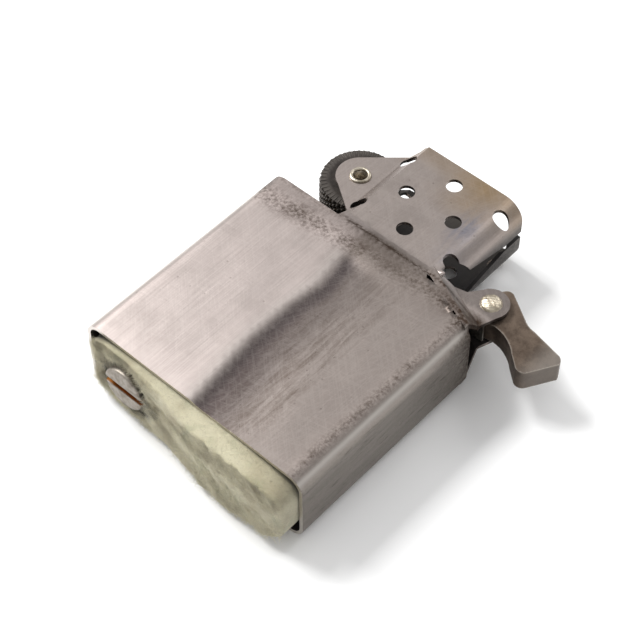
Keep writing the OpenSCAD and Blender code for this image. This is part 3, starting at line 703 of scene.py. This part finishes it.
def feltPad():
    # One thick felt with a frayed hole for the screw; its free end lifts with the flap.
    columns, rows = 420, 90
    x, z, share = feltSurface(columns, rows)
    border = np.hypot(x - x[-1:], z - z[-1:])
    nearEdge = np.sqrt(np.clip(1 - (1 - ease(border, -0.6, 1.1)) ** 2, 0, 1))
    holeGap = np.hypot(x - wheelAt[0], z) - felt["hole"]
    nearHole = ease(holeGap, -0.3, 0.7)
    lift = 0.9 * (nearEdge - 1) + 0.7 * (nearHole - 1)
    ridge = 0.35 * bump((x - 3.5) * 0.75 + z * 0.66, 0, 0.9) * ease(x, -6, 2)
    mottled = 0.28 * ripple(x, z, 5.1, 21) + 0.10 * ripple(x, z, 1.3, 22)
    out = feltOut(x) + lift + ridge + mottled * nearEdge
    face = np.stack([x, rimY - out, midZ + z], -1)
    deep = np.linspace(0, 1, 16)[1:, None]
    wallY = face[-1:, :, 1] + (rimY + felt["inner"] - face[-1:, :, 1]) * deep
    wall = np.stack([x[-1:] + 0 * deep, wallY, midZ + z[-1:] + 0 * deep], -1)
    back = np.stack([x[::-8], 0 * x[::-8] + rimY + felt["inner"], midZ + z[::-8]], -1)
    holeY = back[-1:, :, 1] + (face[:1, :, 1] - back[-1:, :, 1]) * deep[:-1]
    holeWall = np.stack([x[:1] + 0 * holeY, holeY, midZ + z[:1] + 0 * holeY], -1)
    sheets = np.concatenate([face, wall, back[1:], holeWall])
    faces = ringFaces(len(sheets), columns, closeRows=True, outward=True)
    shape = (sheets.reshape(-1, 3), faces, None, feltMaterial("felt", 1.0))
    piece = makePiece("feltPad", *shape, ["felt_pad", "felt_flap"], "felt", 180)
    fx, fy, fz = sheets.reshape(-1, 3).T
    ring = np.hypot(fx - wheelAt[0], fz - midZ) - felt["hole"]
    # Dirty round the screw hole, darker towards both ends, and painted shade where the felt dips in under
    # the rim.
    dirtAndShade = 0.95 * (1 - ease(ring, 0.1, 1.3)) + 0.15 * ease(fx, 12, 17)
    dirtAndShade = dirtAndShade + 0.8 * ease(fy, rimY - 0.1, rimY + 0.5) + 0.35 * ease(-fx, 13.5, 17)
    paint(piece, "dirtAndShade", np.clip(dirtAndShade, 0, 1))
    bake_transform(piece)
    feltFibres(face)


def feltFibres(face):
    # Short bent hairs rooted on the felt's outer face, each two thin quads on a random heading.
    count = 14000
    rows, columns = face.shape[:2]
    nearHole = rng.random(count) < 0.2
    row = np.where(nearHole, rng.integers(0, 9, count), (rng.random(count) ** 0.7 * (rows - 1)).astype(int))
    root = face[row, rng.integers(0, columns, count)]
    heading = rng.uniform(0, 2 * math.pi, count)
    length = rng.uniform(0.4, 1.3, count)[:, None]
    along = np.stack([np.cos(heading), rng.uniform(-0.45, -0.05, count), np.sin(heading)], 1)
    inward = np.stack([wheelAt[0] - root[:, 0], -0.2 * np.ones(count), midZ - root[:, 2]], 1)
    inward /= np.linalg.norm(inward, axis=1, keepdims=True)
    along = np.where(nearHole[:, None], inward * 0.9 + along * 0.5, along)
    side = np.stack([-np.sin(heading), np.zeros(count), np.cos(heading)], 1) * 0.022
    curl = rng.normal(0, 0.25, (count, 3)) * [1, 0.3, 1]
    mid = root + along * length * 0.5
    tip = root + (along + curl) * length
    tip[:, 2] = np.clip(tip[:, 2], 0.7, 2 * midZ - 0.7)
    tip[:, 0] = np.clip(tip[:, 0], -sideX + 0.6, sideX - 0.6)
    lower = [root - side, root + side, mid + side * 0.8, mid - side * 0.8]
    points = np.stack([*lower, tip + side * 0.3, tip - side * 0.3], 1)
    base = (np.arange(count) * 6)[:, None]
    faces = np.concatenate([base + [0, 1, 2, 3], base + [3, 2, 4, 5]])
    shape = (points.reshape(-1, 3), faces, None, feltMaterial("feltFibre", 1.25))
    piece = makePiece("feltFibres", *shape, (), "felt", 180)
    dirtAndShade = np.repeat(np.where(nearHole, 0.85, 0.1) * rng.random(count), 6)
    paint(piece, "dirtAndShade", dirtAndShade)
    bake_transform(piece)


def wick():
    # A braided cord: crossing helices lift its radius, and the tip frays and narrows.
    low, high = corners("wick")
    centreX, radius = (low[0] + high[0]) / 2, (high[0] - low[0]) / 2 - 0.05
    columns, rows = 120, 260
    turn = np.arange(columns) * 2 * math.pi / columns
    share = np.linspace(0, 1, rows)[:, None]
    y = low[1] + (high[1] - low[1]) * share
    braid = np.abs(np.sin(turn * 4 + y * 2.2)) * np.abs(np.sin(turn * 4 - y * 2.2))
    r = radius * (0.9 + 0.1 * braid) - 0.25 * ease(share, 0.985, 1)
    r = np.concatenate([np.full((1, columns), 0.56), r, np.full((1, columns), 0.56)])
    yAll = np.concatenate([y[:1], y, y[-1:]]) + 0 * r
    yAll[-3:] += 0.12 * np.sin(turn * 7) - 0.15
    points = np.stack([centreX + r * np.cos(turn), yAll, midZ + r * np.sin(turn)], -1)
    faces = ringFaces(rows + 2, columns, closeRows=True, outward=True)
    shape = (points.reshape(-1, 3), faces, "tank", wickMaterial())
    piece = makePiece("wickCord", *shape, ["wick"], "wick_cotton", 180)
    paint(piece, "char", ease(yAll.reshape(-1), high[1] - 8, high[1] - 2))


def innerMaterials():
    # The pieces that keep their own solids get finished materials.
    looks = {
        "top_deck": plainMetal(
            "deckSteel", (0.16, 0.135, 0.11), (0.035, 0.025, 0.02), 0.5, 1.5, 0.02, stain=0.8
        ),
        "cam_spring": plainMetal(
            "leafSteel", (0.30, 0.28, 0.25), (0.10, 0.075, 0.05), 0.35, 1.2, 0.01, (1, 0.2, 1)
        ),
        "cam_spring_rivet": plainMetal("leafRivet", (0.34, 0.30, 0.24), (0.10, 0.08, 0.05), 0.35, 0.7),
        "flint_tube": plainMetal("brassTube", (0.55, 0.36, 0.14), (0.20, 0.12, 0.05), 0.35, 2.0, 0.012),
        "flint_spring": plainMetal("coilSteel", (0.42, 0.40, 0.37), (0.18, 0.15, 0.11), 0.3, 0.8),
        "spring_tip": plainMetal("brassTip", (0.60, 0.40, 0.16), (0.25, 0.15, 0.06), 0.3, 0.8),
        "flint": plainMetal("flintMetal", (0.11, 0.10, 0.095), (0.05, 0.045, 0.04), 0.6, 0.5, 0.04),
        "wick_wire": plainMetal("copperWire", (0.55, 0.24, 0.11), (0.12, 0.06, 0.03), 0.4, 0.6),
    }
    cotton = cottonMaterial()
    looks.update({name: cotton for name in frame["nodes"] if name.startswith("cotton_ball")})
    for name, material in looks.items():
        mesh = frame["nodes"][name].data
        mesh.materials.clear()
        mesh.materials.append(material)


stageLook = {
    "floorSize": 1.6,
    "lampAt": (-0.34, -0.02, 0.36),
    "lampSize": 0.20,
    "lampPower": 2.9,
    "fillAt": (0.05, 0.55, 0.40),
    "fillPower": 1.2,
    "worldLevel": 0.66,
}


def floor():
    half = stageLook["floorSize"]
    mesh = bpy.data.meshes.new("floorSheet")
    outline = [(-half, -half, 0), (half, -half, 0), (half, half, 0), (-half, half, 0)]
    mesh.from_pydata(outline, [], [(0, 1, 2, 3)])
    g = Graph("whiteSheet", Base_Color=(0.93, 0.93, 0.93), Roughness=0.9)
    mesh.materials.append(g.material)
    sheet = bpy.data.objects.new("floorSheet", mesh)
    bpy.context.scene.collection.objects.link(sheet)
    sheet.location.z = -0.02 * mm


def lamp(name, place, size, power):
    data = bpy.data.lights.new(name, "AREA")
    data.shape = "SQUARE"
    data.size = size
    data.energy = power
    made = bpy.data.objects.new(name, data)
    made.location = place
    made.rotation_mode = "QUATERNION"
    made.rotation_quaternion = (Vector(place) - Vector((0, 0, 0.006))).to_track_quat("Z", "Y")
    bpy.context.scene.collection.objects.link(made)


def world():
    scene = bpy.context.scene
    scene.world = bpy.data.worlds.new("world")
    scene.world.use_nodes = True
    tree = scene.world.node_tree
    tree.nodes.clear()
    room = tree.nodes.new("ShaderNodeBackground")
    room.inputs["Color"].default_value = (1, 1, 1, 1)
    room.inputs["Strength"].default_value = stageLook["worldLevel"]
    out = tree.nodes.new("ShaderNodeOutputWorld")
    tree.links.new(room.outputs[0], out.inputs[0])
    scene.view_settings.view_transform = "Standard"


view = {
    "azimuth": 42.129,
    "elevation": 51.739,
    "target": (0.209, 5.8, 6.0),
    "distance": 224.345,
    "lens": 99.875,
}


def camera():
    a, e = math.radians(view["azimuth"]), math.radians(view["elevation"])
    back = Vector((math.sin(a) * math.cos(e), -math.cos(a) * math.cos(e), math.sin(e)))
    right = Vector((math.cos(a), math.sin(a), 0))
    up = back.cross(right)
    place = Vector(view["target"]) * mm + back * view["distance"] * mm
    data = bpy.data.cameras.new("camera")
    data.lens = view["lens"]
    data.sensor_width = 36
    data.clip_start = 0.01
    made = bpy.data.objects.new("camera", data)
    turn = Matrix((right, up, back)).transposed().to_4x4()
    made.matrix_world = Matrix.Translation(place) @ turn
    bpy.context.scene.collection.objects.link(made)
    bpy.context.scene.camera = made


for name, build in (
    ("tank sheet", tankSheet),
    ("striker wheel", strikerWheel),
    ("lever", camLever),
    ("lever rivet", camRivet),
    ("wheel rivet", wheelRivet),
    ("screw", flintScrew),
    ("felt", feltPad),
    ("wick", wick),
    ("inner pieces", innerMaterials),
    ("floor", floor),
    ("world", world),
    ("camera", camera),
):
    build()
    print("built", name)
lamp("keyLamp", stageLook["lampAt"], stageLook["lampSize"], stageLook["lampPower"])
lamp("fillLamp", stageLook["fillAt"], 0.25, stageLook["fillPower"])
